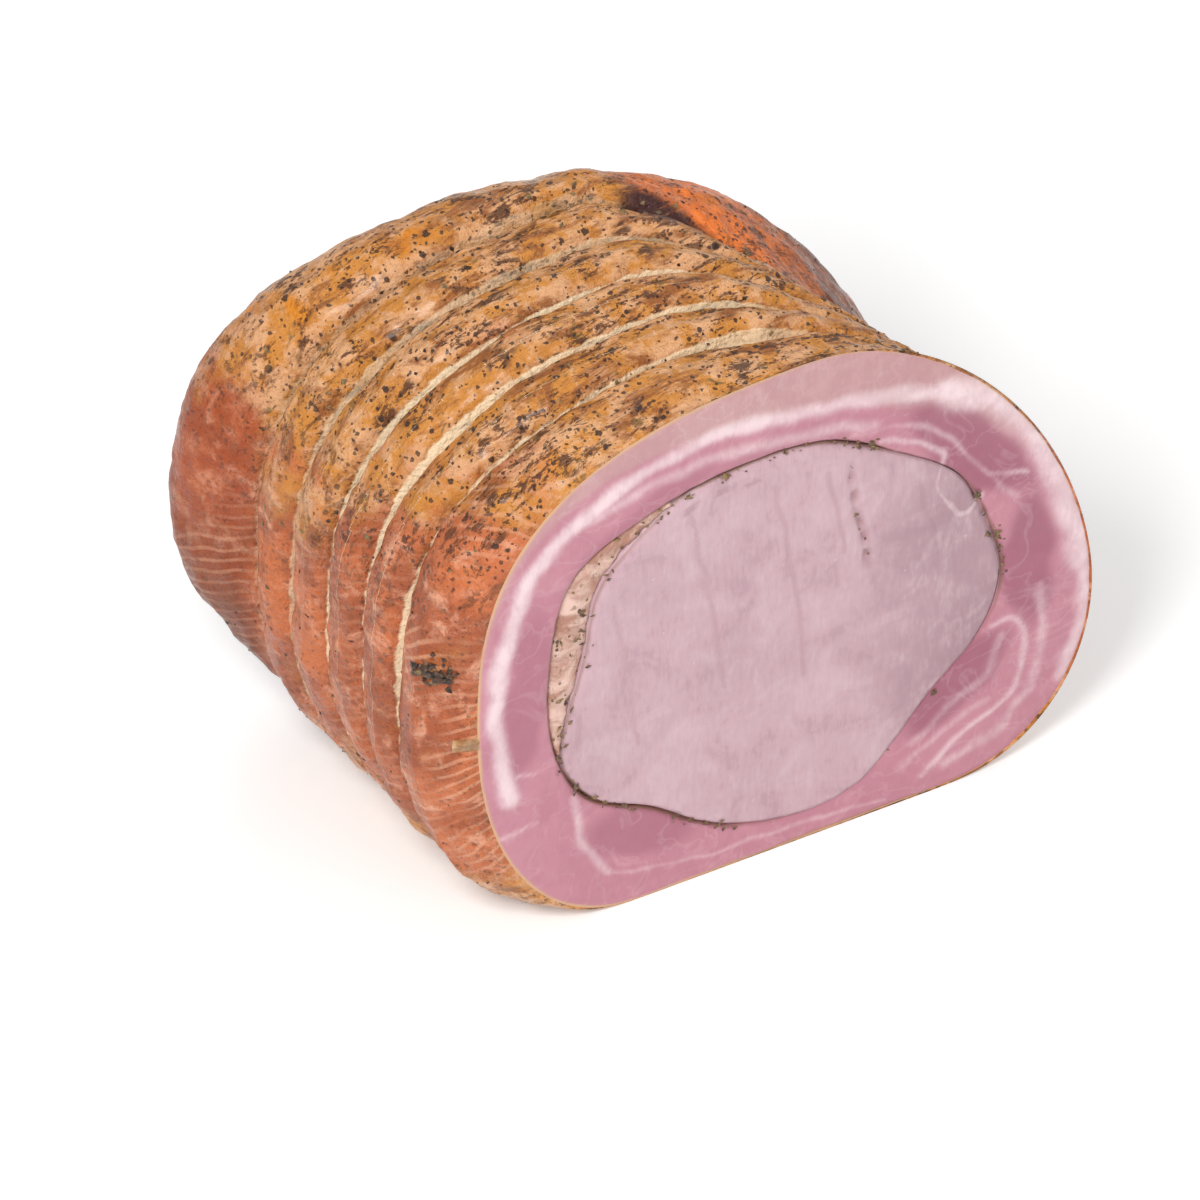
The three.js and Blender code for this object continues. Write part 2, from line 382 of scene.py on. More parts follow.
def makeSpeckGroup():
    # Dark dots of ground spice, clustered, with ragged edges.
    group, given, result = startGroup(
        "groundSpice",
        [("Place", "NodeSocketVector", None), ("Dots", "NodeSocketFloat", 400.0),
         ("Size", "NodeSocketFloat", 0.2), ("Share", "NodeSocketFloat", 0.5)],
        [("Mask", "NodeSocketFloat")],
    )
    place = given.outputs["Place"]
    ragged = addNode(group, "ShaderNodeTexNoise", None, Vector=place, Scale=900.0, Detail=1.0)
    moved = addNode(group, "ShaderNodeVectorMath", {"operation": "SCALE"}, i0=ragged.outputs[1], Scale=0.0012)
    shifted = addNode(group, "ShaderNodeVectorMath", {"operation": "ADD"}, i0=place, i1=moved.outputs[0])
    cells = addNode(group, "ShaderNodeTexVoronoi", None, Vector=shifted.outputs[0],
                    Scale=given.outputs["Dots"])
    picked = addNode(group, "ShaderNodeSeparateColor", None, i0=cells.outputs["Color"])
    kept = maths(group, "LESS_THAN", picked.outputs[0], given.outputs["Share"])
    radius = times(group, given.outputs["Size"], plus(group, picked.outputs[1], 0.45))
    away = minus(group, radius, cells.outputs["Distance"])
    dot = ranged(group, away, 0.0, 0.07)
    group.links.new(times(group, dot, kept), result.inputs["Mask"])
    return group


def makeGrainGroup():
    # Fine moist meat grain, as a height and as a tone.
    group, given, result = startGroup(
        "meatGrain",
        [("Place", "NodeSocketVector", None), ("Grain", "NodeSocketFloat", 500.0),
         ("Stretch", "NodeSocketFloat", 0.35)],
        [("Height", "NodeSocketFloat"), ("Tone", "NodeSocketFloat")],
    )
    squeeze = addNode(group, "ShaderNodeCombineXYZ", None, X=1.0, Y=1.0, Z=given.outputs["Stretch"])
    place = addNode(group, "ShaderNodeVectorMath", {"operation": "MULTIPLY"}, i0=given.outputs["Place"],
                    i1=squeeze.outputs[0]).outputs[0]
    fine = speckle(group, place, given.outputs["Grain"], 4.0, 0.65)
    broad = speckle(group, given.outputs["Place"], 70.0, 3.0, 0.6, 0.6)
    height = plus(group, times(group, fine, 0.6), times(group, broad, 0.4))
    group.links.new(height, result.inputs["Height"])
    tone = plus(group, times(group, fine, 0.35), times(group, broad, 0.65))
    group.links.new(tone, result.inputs["Tone"])
    return group


def makeMoistGroup():
    # Patches of juice and fat change the shine from place to place.
    group, given, result = startGroup(
        "moistShine",
        [("Place", "NodeSocketVector", None), ("Wet", "NodeSocketFloat", 0.25),
         ("Dry", "NodeSocketFloat", 0.6)],
        [("Roughness", "NodeSocketFloat")],
    )
    patches = speckle(group, given.outputs["Place"], 120.0, 4.0, 0.7)
    node = addNode(group, "ShaderNodeMapRange", {"interpolation_type": "SMOOTHSTEP"}, i0=patches, i1=0.35,
                   i2=0.65, i3=given.outputs["Wet"], i4=given.outputs["Dry"])
    group.links.new(node.outputs[0], result.inputs["Roughness"])
    return group


spiceGroup, grainGroup, moistGroup = makeSpeckGroup(), makeGrainGroup(), makeMoistGroup()


def useGroup(tree, group, **inputs):
    return addNode(tree, "ShaderNodeGroup", {"node_tree": group}, **inputs)


def spiceMask(tree, place, dots, size, share):
    return useGroup(tree, spiceGroup, Place=place, Dots=dots, Size=size, Share=share).outputs["Mask"]


def setShine(tree, shader, place, wet, dry):
    moist = useGroup(tree, moistGroup, Place=place, Wet=wet, Dry=dry)
    tree.links.new(moist.outputs["Roughness"], shader.inputs["Roughness"])


def startMaterial(name, softness=0.0):
    material = bpy.data.materials.new(name)
    material.use_nodes = True
    tree = material.node_tree
    shader = tree.nodes["Principled BSDF"]
    shader.inputs["Subsurface Weight"].default_value = softness
    shader.inputs["Subsurface Radius"].default_value = (1.0, 0.45, 0.3)
    shader.inputs["Subsurface Scale"].default_value = 0.004
    place = addNode(tree, "ShaderNodeTexCoord").outputs["Object"]
    return material, tree, shader, place


def addBump(tree, shader, height, distance, strength=1.0):
    bump = addNode(tree, "ShaderNodeBump", None, Height=height, Distance=distance, Strength=strength)
    tree.links.new(bump.outputs[0], shader.inputs["Normal"])


crustLook = {
    "gold": (0.60, 0.235, 0.038, 1), "tan": (0.72, 0.375, 0.18, 1), "brown": (0.31, 0.098, 0.020, 1),
    "side": (0.58, 0.155, 0.048, 1), "sideDeep": (0.36, 0.080, 0.024, 1), "sidePale": (0.72, 0.32, 0.19, 1),
    "end": (0.34, 0.056, 0.009, 1), "lobe": (1.0, 0.235, 0.03, 1), "cream": (1.0, 0.79, 0.52, 1),
    # the first colour on the next line is painted shadow for the dark line in front of each tie groove
    "grooveShadow": (0.085, 0.028, 0.010, 1), "spice": (0.030, 0.012, 0.007, 1), "scorch": (0.085, 0.026, 0.008, 1),
    "olive": (0.12, 0.08, 0.02, 1), "stripe": (0.78, 0.40, 0.24, 1), "amber": (0.66, 0.22, 0.008, 1),
    # the last colour on the next line is painted shade for the flared end's lower left and right side
    "purple": (0.055, 0.013, 0.010, 1), "low": (0.15, 0.040, 0.014, 1),
}


# The scorched rub's scale, the noise it starts and is whole at, and its strength.
crustScorch = ((190.0, 0.52, 0.59, 0.9), (420.0, 0.55, 0.605, 0.95))
# The ground spice's dots in a metre, their size and share of the cells, and their strength.
crustSpecks = ((640.0, 0.32, 0.42, 0.9), (300.0, 0.27, 0.24, 0.95), (165.0, 0.16, 0.10, 0.9))


def brownedColour(tree, place, broad, middle, stains):
    # A golden crown and redder sides, with the flared end in colours of its own and painted shade on its
    # lower left and right side.
    look, flare = crustLook, ownValue(tree, "flareShare")
    top = blendColour(tree, ranged(tree, middle, 0.42, 0.58), look["gold"], look["tan"])
    top = blendColour(tree, ranged(tree, stains, 0.48, 0.64), top, look["brown"])
    amber = times(tree, ranged(tree, speckle(tree, place, 55.0, 2.0), 0.56, 0.68), flare)
    top = blendColour(tree, amber, top, look["amber"])
    low = blendColour(tree, ranged(tree, broad, 0.38, 0.62), look["sideDeep"], look["side"])
    low = blendColour(tree, ranged(tree, middle, 0.50, 0.72), low, look["sidePale"])
    end = blendColour(tree, ownValue(tree, "rightShare"), look["end"], look["lobe"])
    low = blendColour(tree, times(tree, flare, ranged(tree, middle, 0.38, 0.6, 0.9, 0.35)), low, end)
    edge = plus(tree, ownValue(tree, "sideShare"), times(tree, minus(tree, broad, 0.5), 2.2))
    colour = blendColour(tree, ranged(tree, edge, 0.15, 0.85), top, low)
    # painted shade: the flared end's lower left and right side is darkened towards a deep brown
    paintedUnderShade = times(tree, ownValue(tree, "baseShadeShare"), ranged(tree, middle, 0.3, 0.6, 0.55, 0.95))
    return blendColour(tree, paintedUnderShade, colour, look["low"])


def fatStripes(tree, place):
    # Fine pale streaks of fat that run from front to back, on the sides and the flared end.
    split = addNode(tree, "ShaderNodeSeparateXYZ", None, i0=place)
    beside = plus(tree, split.outputs[0], times(tree, split.outputs[1], roastLine["lean"]))
    above = minus(tree, split.outputs[2], roastLine["hubHeight"] * mm)
    angle = maths(tree, "ARCTAN2", above, beside)
    wander = times(tree, speckle(tree, place, 30.0, 2.0), 20.0)
    bend = plus(tree, wander, times(tree, split.outputs[1], -900.0))
    stripe = ranged(tree, maths(tree, "SINE", plus(tree, times(tree, angle, 150.0), bend)), 0.2, 1.0)
    patch = ranged(tree, speckle(tree, place, 24.0, 2.0), 0.42, 0.62)
    return times(tree, times(tree, stripe, patch), ownValue(tree, "streakShare"))


def scorchedRub(tree, place, dragged, rub, colour):
    for scale, start, end, strength in crustScorch:
        burnt = ranged(tree, speckle(tree, dragged, scale, 5.0, 0.75, 0.4), start, end)
        clustered = ranged(tree, speckle(tree, place, 60.0, 2.0), 0.44, 0.54, 0.12, 1.0)
        scorch = times(tree, times(tree, burnt, clustered), rub)
        colour = tint(tree, colour, scorch, strength, crustLook["scorch"])
    olive = ranged(tree, speckle(tree, place, 165.0, 3.0, 0.7, 0.8), 0.62, 0.70)
    return tint(tree, colour, times(tree, olive, rub), 0.7, crustLook["olive"])


def tieMarkShares(tree, place):
    # A dark line of painted shadow in front of each tie groove, at the foot of the tie mark, and an unbrowned
    # strip on the wall behind it.
    ragged = times(tree, minus(tree, speckle(tree, place, 230.0, 3.0), 0.5), 1.3)
    wobble = plus(tree, ownValue(tree, "tieDistance"), ragged)
    paintedGrooveShadow = times(tree, ranged(tree, wobble, -1.7, -0.2), ranged(tree, wobble, 0.6, 0.25))
    strip = times(tree, ranged(tree, wobble, 0.35, 0.6), ranged(tree, wobble, 2.15, 1.75))
    strip = times(tree, strip, ownValue(tree, "stripShare"))
    return paintedGrooveShadow, times(tree, strip, ranged(tree, speckle(tree, place, 30.0, 2.0), 0.24, 0.36))


def makeCrust():
    material, tree, shader, place = startMaterial("roastedCrust", 0.02)
    look, rub = crustLook, ownValue(tree, "rubShare")
    broad = speckle(tree, place, 38.0, 4.0, 0.62, 0.4)
    middle = speckle(tree, place, 130.0, 4.0, 0.65, 0.3)
    squash = addNode(tree, "ShaderNodeCombineXYZ", None, X=0.55, Y=1.5, Z=0.8)
    dragged = addNode(tree, "ShaderNodeVectorMath", {"operation": "MULTIPLY"}, i0=place,
                      i1=squash.outputs[0]).outputs[0]  # stretches the stains along the ties
    stains = speckle(tree, dragged, 105.0, 5.0, 0.7, 0.5)
    colour = brownedColour(tree, place, broad, middle, stains)
    colour = tint(tree, colour, fatStripes(tree, place), 0.5, look["stripe"])
    colour = scorchedRub(tree, place, dragged, rub, colour)
    paintedGrooveShadow, strip = tieMarkShares(tree, place)
    # painted shadow: a near-black line in front of each tie groove
    colour = tint(tree, colour, paintedGrooveShadow, 0.75, look["grooveShadow"])
    colour = tint(tree, colour, strip, 0.95, look["cream"])
    spot = times(tree, ownValue(tree, "spotShare"), ranged(tree, stains, 0.36, 0.5))
    colour = blendColour(tree, spot, colour, look["purple"])
    bare = minus(tree, 1.0, times(tree, strip, 0.9))
    for dots, size, share, strength in crustSpecks:
        amount = times(tree, times(tree, spiceMask(tree, place, dots, size, share), bare), strength)
        amount = times(tree, amount, plus(tree, times(tree, rub, 0.75), 0.2))
        colour = blendColour(tree, amount, colour, look["spice"])
    tree.links.new(colour, shader.inputs["Base Color"])
    setShine(tree, shader, place, 0.24, 0.56)
    grain = useGroup(tree, grainGroup, Place=place, Grain=420.0, Stretch=1.0).outputs["Height"]
    addBump(tree, shader, plus(tree, grain, times(tree, middle, 0.8)), 0.0024, 1.0)
    shader.inputs["Specular IOR Level"].default_value = 0.3
    shader.inputs["Coat Weight"].default_value = 0.12
    shader.inputs["Coat Roughness"].default_value = 0.14
    return material


cutLook = {
    "pink": (0.52, 0.215, 0.27, 1), "outer": (0.53, 0.30, 0.30, 1), "deep": (0.31, 0.085, 0.135, 1),
    "fat": (0.83, 0.66, 0.68, 1), "rim": (0.60, 0.36, 0.20, 1), "seam": (0.20, 0.105, 0.06, 1),
}


def makeCutBelly():
    material, tree, shader, place = startMaterial("cutBelly", 0.12)
    look = cutLook
    rim, seam = ownValue(tree, "rimDistance"), ownValue(tree, "seamDistance")
    fat, muscle = ownValue(tree, "fatShare"), ownValue(tree, "muscleShare")
    grain = useGroup(tree, grainGroup, Place=place, Grain=620.0, Stretch=0.4)
    tone = grain.outputs["Tone"]
    outer = ownValue(tree, "outerShare")
    colour = blendColour(tree, outer, look["pink"], look["outer"])
    ragged = times(tree, minus(tree, tone, 0.5), 0.9)
    dark = ranged(tree, plus(tree, muscle, ragged), 0.0, 1.0)
    colour = tint(tree, colour, dark, 0.85, look["deep"])
    white = ranged(tree, plus(tree, fat, times(tree, ragged, 0.7)), 0.0, 1.1)
    colour = tint(tree, colour, white, 0.9, look["fat"])
    veins = speckle(tree, place, 60.0, 3.0, 0.5, 0.9)
    vein = minus(tree, 1.0, times(tree, maths(tree, "ABSOLUTE", minus(
        tree, veins, 0.5)), 38.0), True)
    colour = tint(tree, colour, vein, 0.11, look["fat"])
    colour = blendColour(tree, ranged(tree, tone, 0.62, 0.40, 0.0, 0.22), colour, look["deep"])
    skin = ranged(tree, plus(tree, rim, times(tree, ragged, 1.2)), 1.2, 0.3)
    colour = blendColour(tree, skin, colour, look["rim"])
    # painted shade in the crack round the loin, mixed with the brown of the herb paste in the seam
    crackShadeAndHerbs = ranged(tree, plus(tree, seam, times(tree, ragged, 1.2)), 1.0, 0.2)
    colour = blendColour(tree, times(tree, crackShadeAndHerbs, ownValue(tree, "seamDark")), colour, look["seam"])
    tree.links.new(colour, shader.inputs["Base Color"])
    setShine(tree, shader, place, 0.30, 0.5)
    addBump(tree, shader, grain.outputs["Height"], 0.0006, 0.55)
    return material


loinLook = {
    "meat": (0.535, 0.345, 0.385, 1), "shade": (0.35, 0.205, 0.24, 1), "line": (0.34, 0.17, 0.18, 1),
    "pale": (0.68, 0.52, 0.55, 1), "oval": (0.37, 0.21, 0.24, 1), "seam": (0.24, 0.13, 0.08, 1),
}


def makeLoin():
    material, tree, shader, place = startMaterial("cutLoin", 0.12)
    look = loinLook
    grain = useGroup(tree, grainGroup, Place=place, Grain=760.0, Stretch=0.25)
    tone = grain.outputs["Tone"]
    colour = blendColour(tree, ownValue(tree, "shadeShare"), look["meat"], look["shade"])
    colour = blendColour(tree, ranged(tree, tone, 0.45, 0.68, 0.0, 0.4), colour, look["pale"])
    colour = blendColour(tree, ranged(tree, tone, 0.47, 0.36, 0.0, 0.35), colour, look["shade"])
    line = times(tree, ownValue(tree, "lineShare"), ranged(tree, tone, 0.35, 0.6, 0.5, 1.0))
    colour = blendColour(tree, line, colour, look["line"])
    colour = blendColour(tree, ownValue(tree, "ovalShare"), colour, look["oval"])
    fat = plus(tree, ownValue(tree, "fatShare"), minus(tree, tone, 0.5))
    colour = blendColour(tree, ranged(tree, fat, 0.3, 0.8, 0.0, 0.8), colour, look["pale"])
    nicks = spiceMask(tree, place, 330.0, 0.12, 0.06)
    colour = tint(tree, colour, nicks, 0.6, look["pale"])
    # painted shade in the crack round the loin, mixed with the brown of the herb paste in the seam
    crackShadeAndHerbs = ranged(tree, plus(tree, ownValue(tree, "seamDistance"), times(
        tree, minus(tree, tone, 0.5), 1.4)), 0.9, 0.15)
    colour = blendColour(tree, times(tree, crackShadeAndHerbs, ownValue(tree, "seamDark")), colour, look["seam"])
    tree.links.new(colour, shader.inputs["Base Color"])
    setShine(tree, shader, place, 0.34, 0.52)
    addBump(tree, shader, grain.outputs["Height"], 0.0005, 0.5)
    return material


bakedLook = {"brown": (0.22, 0.070, 0.02, 1), "gold": (0.56, 0.25, 0.11, 1)}


def makeBakedEnd():
    # The loin's back end, browned like the crust but without its tie marks.
    material, tree, shader, place = startMaterial("bakedLoinEnd", 0.05)
    broad = speckle(tree, place, 45.0, 4.0, 0.6, 0.5)
    colour = blendColour(tree, ranged(tree, broad, 0.38, 0.64), bakedLook["brown"], bakedLook["gold"])
    burnt = ranged(tree, speckle(tree, place, 190.0, 5.0, 0.75, 0.4), 0.52, 0.6)
    colour = tint(tree, colour, burnt, 0.85, crustLook["scorch"])
    spice = spiceMask(tree, place, 420.0, 0.28, 0.4)
    colour = tint(tree, colour, spice, 0.8, crustLook["spice"])
    tree.links.new(colour, shader.inputs["Base Color"])
    setShine(tree, shader, place, 0.3, 0.6)
    grain = useGroup(tree, grainGroup, Place=place, Grain=380.0, Stretch=1.0).outputs["Height"]
    addBump(tree, shader, grain, 0.0024, 1.0)
    return material


herbFatLook = {
    "shade": (0.40, 0.19, 0.13, 1), "pale": (0.72, 0.49, 0.41, 1), "herb": (0.19, 0.11, 0.045, 1),
    "spice": (0.07, 0.045, 0.02, 1),
}


def makeHerbFat():
    material, tree, shader, place = startMaterial("seasonedFat", 0.1)
    look = herbFatLook
    broad = speckle(tree, place, 110.0, 4.0, 0.65, 0.6)
    colour = blendColour(tree, ranged(tree, broad, 0.36, 0.64), look["shade"], look["pale"])
    herb = ranged(tree, speckle(tree, place, 300.0, 4.0, 0.7), 0.58, 0.68)
    colour = tint(tree, colour, herb, 0.7, look["herb"])
    spice = spiceMask(tree, place, 420.0, 0.26, 0.12)
    colour = tint(tree, colour, spice, 0.8, look["spice"])
    tree.links.new(colour, shader.inputs["Base Color"])
    setShine(tree, shader, place, 0.28, 0.55)
    grain = useGroup(tree, grainGroup, Place=place, Grain=520.0, Stretch=1.0).outputs["Height"]
    addBump(tree, shader, grain, 0.001, 0.8)
    return material


def makeFlakeMaterial(name, dark, light, gloss):
    material, tree, shader, place = startMaterial(name)
    tone = speckle(tree, place, 650.0, 3.0, 0.6)
    colour = blendColour(tree, ranged(tree, tone, 0.38, 0.62), dark, light)
    tree.links.new(colour, shader.inputs["Base Color"])
    tree.links.new(ranged(tree, tone, 0.3, 0.7, gloss, gloss + 0.25), shader.inputs["Roughness"])
    addBump(tree, shader, tone, 0.0003, 0.6)
    return material


filmLook = {"brown": (0.46, 0.20, 0.07, 1), "tan": (0.68, 0.38, 0.20, 1)}


def makeFilm():
    material, tree, shader, place = startMaterial("fatFilm", 0.25)
    tone = speckle(tree, place, 260.0, 3.0, 0.6)
    colour = blendColour(tree, ranged(tree, tone, 0.35, 0.65), filmLook["brown"], filmLook["tan"])
    tree.links.new(colour, shader.inputs["Base Color"])
    tree.links.new(ranged(tree, tone, 0.3, 0.7, 0.12, 0.3), shader.inputs["Roughness"])
    addBump(tree, shader, tone, 0.0005, 0.6)
    return material


crustMaterial, cutMaterial, loinMaterial = makeCrust(), makeCutBelly(), makeLoin()
endMaterial, fatMaterial, filmMaterial = makeBakedEnd(), makeHerbFat(), makeFilm()
pepperMaterial = makeFlakeMaterial("crackedPepper", (0.018, 0.010, 0.007, 1), (0.10, 0.045, 0.022, 1), 0.35)
brownMaterial = makeFlakeMaterial("brownedSpice", (0.05, 0.025, 0.012, 1), (0.20, 0.11, 0.05, 1), 0.4)
herbMaterial = makeFlakeMaterial("driedHerb", (0.085, 0.052, 0.020, 1), (0.27, 0.175, 0.065, 1), 0.45)
print("materials made")


# How open the crack round the loin is, and how strongly its painted shade with the seam's herb brown shows,
# by degrees round it.
seamTurns = (0, 22, 35, 55, 66, 112, 125, 195, 205, 250, 264, 280, 335, 350, 360)
seamShares = (0.9, 0.7, 0.15, 0.3, 1.0, 1.0, 0.6, 0.6, 1.0, 0.8, 0.3, 0.08, 0.08, 0.6, 0.9)


def seamStrength(degrees):
    return np.interp(degrees, seamTurns, seamShares)


# The belly wrap
def tieWander(tie):
    return np.array([noise.noise(Vector((math.cos(a) * 1.7, math.sin(a) * 1.7, tie * 5.3))) for a in around])


tieWanders = [tieWander(tie) * tieMarks["wander"] for tie in range(len(tieMarks["strips"]))]


def tiePlaces(points):
    # For one row: how far each point is behind its nearest tie, that tie's strip, and how far the
    # point is behind the last tie.
    marks = tieMarks
    drawn = 1 - marks["bunch"] * smoothStep(marks["bunchFrom"], marks["bunchTo"], points[:, 0] - faceMiddle)
    backs = points[:, 1] - roastLine["faceY"]
    nearest, strips = np.full(len(points), 99.0), np.zeros(len(points))
    for tie, strip in enumerate(marks["strips"]):
        away = backs - (marks["first"] + tie * marks["spacing"]) * drawn - tieWanders[tie]
        closer = np.abs(away) < np.abs(nearest)
        nearest, strips = np.where(closer, away, nearest), np.where(closer, strip, strips)
    return nearest, strips, away


def outsideRows():
    # Rows of the crust from the cut rim to the mouth of the flared end: places and tie distances.
    line, fine, marks = roastLine, meshFineness, tieMarks
    backs = list(np.arange(0, line["flareBack"], fine["alongStep"]))
    backs[0] = 0.02
    stations = np.unique(np.round(np.linspace(0.02, line["flareBack"], 60), 2))
    reaches = np.array([row(bellyTree, b) for b in stations])
    rows, ties, strips, behinds = [], [], [], []
    for back in backs:
        share = np.interp(back, stations, range(len(stations)))
        low = int(share)
        high = min(low + 1, len(stations) - 1)
        reach = reaches[low] * (1 - share + low) + reaches[high] * (share - low)
        tie, strip, behind = tiePlaces(placeRow(back, reach))
        notch = np.exp(-(((tie - marks["behind"]) / marks["width"]) ** 2)) * marks["depth"]
        lip = np.exp(-(((tie + marks["lipAhead"]) / marks["lipWidth"]) ** 2)) * marks["lip"]
        under = smoothStep(-0.5, -0.93, np.sin(around))
        rows.append(placeRow(back, reach - (notch - lip) * (1 - under)))
        ties.append(tie)
        strips.append(strip)
        behinds.append(behind)
    start = middleAt(line["flareBack"])
    slope = skewAt(line["flareBack"])
    steps = np.radians(np.arange(0, 61, 1.0))
    mouth = []
    for angle in around:
        seen = [s for s in steps if reachIn(bellyTree, start, outward(angle, slope, s)) is not None]
        mouth.append(max(s for s in seen if s <= steps[min(len(seen), len(steps)) - 1]))
    mouth = smoothRound(np.array(mouth), 10) * line["mouthHold"]
    for share in np.linspace(0, 1, fine["endRings"]):
        rises = mouth * share
        found = [reachIn(bellyTree, start, outward(a, slope, s)) for a, s in zip(around, rises)]
        reach = smoothRound(filled(found))
        ways = np.array([outward(a, slope, s)[:] for a, s in zip(around, rises)])
        rows.append(np.array(start) + ways * reach[:, None])
        tie, strip, behind = tiePlaces(rows[-1])
        ties.append(tie)
        strips.append(strip)
        behinds.append(behind)
    return rows, np.concatenate(ties), np.concatenate(strips), np.concatenate(behinds)


def outwardNormals(grid):
    roundWay = np.roll(grid, -1, 1) - np.roll(grid, 1, 1)
    alongWay = np.gradient(grid, axis=0)
    normal = np.cross(roundWay, alongWay)
    normal = normal / np.maximum(np.linalg.norm(normal, axis=2, keepdims=True), 1e-9)
    return normal if np.mean(normal[5, :, 0] * np.cos(around)) > 0 else -normal


def lumpyCrust(rows):
    # Pushes the crust in and out, least at the cut rim and where the roast rests.
    grid = np.array(rows)
    flat = grid.reshape(-1, 3)
    size = crustLumps
    lift = (lumps(flat, 27, 1) * size["broad"] + lumps(flat, 8.5, 2) * size["middle"]
            + lumps(flat, 2.6, 4) * size["fine"])
    calm = smoothStep(0, 5, flat[:, 1] - roastLine["faceY"]) * smoothStep(0.5, 7, flat[:, 2])
    flat = flat + outwardNormals(grid).reshape(-1, 3) * (lift * calm)[:, None]
    flat[:, 2] = np.maximum(flat[:, 2], 0.0)
    grid = flat.reshape(grid.shape)
    grid[0, :, 1] = roastLine["faceY"]
    return grid


browning = {  # heights run from -1 at the base to 1 at the crown
    "sideTop": 0.14, "firstSegment": 0.10, "frontSegments": 0.22, "flaredEnd": 0.24, "fade": 0.5,
    "spot": (5, 3), "spotSize": (11, 9),  # the dark spot's place right of the middle and behind the last tie
    "endMiddle": (38, 64),  # the streaks fade out between these distances from the middle line
}


def crustShares(points, ties, strips, behinds):
    # How strongly each kind of browning shows at each point of the crust, the herb rub, and the painted shade
    # on the flared end's lower left and right side.
    line, look, gap = roastLine, browning, tieMarks["spacing"]
    middleX = faceMiddle - line["hubLeft"] - line["lean"] * (points[:, 1] - line["faceY"])
    beside, above = points[:, 0] - middleX, points[:, 2] - line["hubHeight"]
    turn = np.arctan2(above, beside)
    upward, leftward = np.sin(turn), -np.cos(turn)
    flare = smoothStep(0.5, 7, behinds)
    first = 1 - smoothStep(-2, 1, behinds + gap * (len(tieMarks["strips"]) - 1))
    front = 1 - smoothStep(-4, 4, behinds + gap * (len(tieMarks["strips"]) - 3))
    browned = look["sideTop"] + look["firstSegment"] * first + look["frontSegments"] * front
    browned = browned + look["flaredEnd"] * flare * leftward
    side = 1 - smoothStep(browned, browned + look["fade"], upward)
    side = np.maximum(side, flare * smoothStep(0.05, 0.3, -leftward))
    side = np.clip(side * smoothStep(-0.7, -0.34, upward + 0.4 * flare), 0, 1)
    spotAway = np.hypot((points[:, 0] - faceMiddle - look["spot"][0]) / look["spotSize"][0],
                        (behinds - look["spot"][1]) / look["spotSize"][1])
    # where the flared end's lower left and right side gets painted shade
    low = smoothStep(0.3, -0.35, upward) * flare * smoothStep(-0.2, 0.3, leftward)
    low = np.maximum(low, flare * smoothStep(0.45, 0.8, -leftward))
    rub = 0.3 + 0.7 * smoothStep(0.2, 0.75, upward)
    rub = rub + 0.4 * smoothStep(-0.3, -0.75, upward) - 0.15 * flare * side
    streaks = np.clip(first * side + 0.35 * side + flare * (leftward < -0.1) + 0.3 * flare * side, 0, 1)
    streaks = streaks * smoothStep(*look["endMiddle"], np.hypot(beside, above))
    stripFade = smoothStep(-0.55, 0.1, leftward) * smoothStep(-0.75, -0.4, upward)
    shares = {
        "sideShare": side, "flareShare": flare, "rubShare": np.clip(rub, 0, 1), "streakShare": streaks,
        "rightShare": smoothStep(0.0, 0.4, -leftward), "baseShadeShare": np.clip(low, 0, 1),
        "spotShare": (1 - smoothStep(0.5, 1.2, spotAway)) * (upward > 0),
        "tieDistance": ties, "stripShare": strips * stripFade,
    }
    return shares, rub


# How far in from the rim the paler outer layer reaches, by how far right of the face's middle it is.
outerLayerPlaces = (-80, -44, 0, 33, 66, 90)
outerLayerDepths = (2, 8, 16, 17, 9, 3)


def faceShares(points, rimGap, seamGap):
    places = facePlaces(points)
    layer = np.interp(places[:, 0], outerLayerPlaces, outerLayerDepths)
    outer = smoothStep(1.5, -1.5, rimGap - layer) * smoothStep(100, 135, places[:, 1])
    seamDark = seamStrength(np.degrees(np.tile(around, len(points) // len(around))))
    return {
        "fatShare": fatAt(points), "muscleShare": muscleAt(points), "outerShare": outer,
        "seamDark": seamDark, "rimDistance": rimGap, "seamDistance": seamGap,
    }


# What a measure reads where it doesn't apply: on the face, on the crust and on the inside wall.
beyond = {"tieDistance": (99, 0, 99), "rimDistance": (0, 0, 9), "seamDistance": (0, 9, 9)}
insideBacks = (108, 96, 80, 55, 30, 12, 3)
rimSink = 0.9  # how far the crust's edge stands behind the CAD's face, in millimetres


